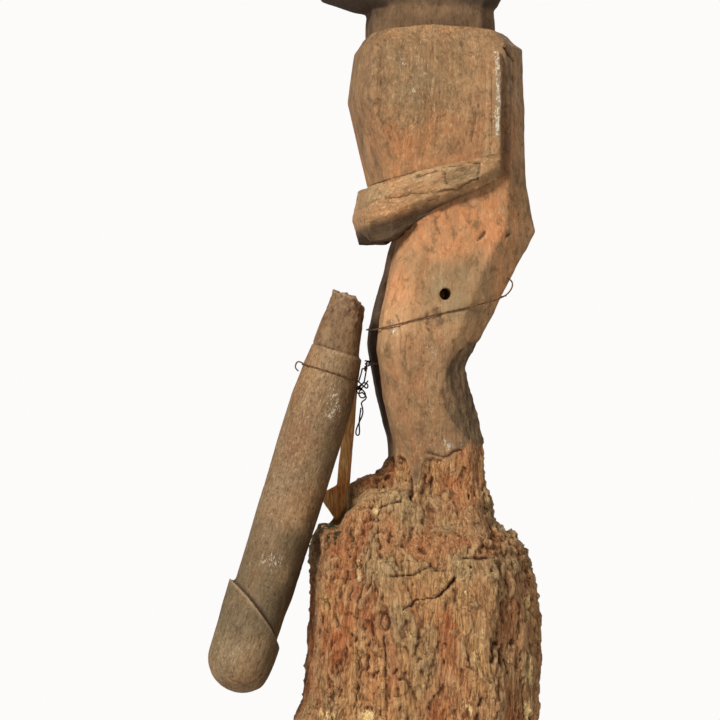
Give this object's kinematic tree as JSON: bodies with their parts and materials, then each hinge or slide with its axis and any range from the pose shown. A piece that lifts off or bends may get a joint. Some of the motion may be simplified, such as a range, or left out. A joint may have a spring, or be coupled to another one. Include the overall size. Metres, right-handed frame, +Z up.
{
  "type": "carved ancestor figure",
  "caption": "Standing hardwood ancestor figure with folded arms on a weathered log post, with a separate carved member and a locking peg hung from its knee by iron wire.",
  "frame": {"origin": "centre of the post's flat sawn foot, on the surface it stands on", "axes": "+Z up the log, -Y the way the figure faces, +X the figure's left side"},
  "size_m": [0.238, 0.367, 1.205],
  "materials": {
    "post_wood": "deeply eroded bare hardwood, rough and fibrous, with vertical checks",
    "figure_wood": "adze-hewn hardwood, matt, grey-brown with rubbed orange patches",
    "head_wood": "adze-hewn hardwood, matt, darker brown",
    "member_wood": "dry grey-brown hardwood with fine cross cuts",
    "peg_wood": "smooth worn brown wood",
    "iron_wire": "dark rusted iron tie wire"
  },
  "bodies": {
    "root": {"post": "post_wood", "left_leg": "figure_wood", "right_leg": "figure_wood", "hips": "figure_wood", "torso": "figure_wood", "left_arm": "figure_wood", "right_arm": "figure_wood", "neck": "figure_wood", "head": "head_wood", "hip_wire": "iron_wire", "knee_wire": "iron_wire"},
    "hanger": {"hanger_hook": "iron_wire"},
    "sling": {"sling_wire": "iron_wire"},
    "member": {"carved_member": "member_wood"},
    "peg": {"locking_peg": "peg_wood", "peg_wire": "iron_wire", "wire_tail": "iron_wire"}
  },
  "joints": [
    {"name": "member_swing", "type": "hinge", "parent": "root", "child": "hanger", "pos_m": [0.016, -0.0586, 0.5896], "axis": [-1, 0, 0], "range_deg": [0, 10]},
    {"name": "member_sway", "type": "hinge", "parent": "hanger", "child": "sling", "pos_m": [0.016, -0.067, 0.5845], "axis": [0, -1, 0], "range_deg": [0, 8]},
    {"name": "member_twist", "type": "hinge", "parent": "sling", "child": "member", "pos_m": [0.016, -0.2124, 0.2332], "axis": [0, 0.2957, 0.9553], "range_deg": [-25, 25]},
    {"name": "peg_swing", "type": "hinge", "parent": "root", "child": "peg", "pos_m": [-0.03, -0.0586, 0.5896], "axis": [-1, 0, 0], "range_deg": [0, 15]}
  ]
}
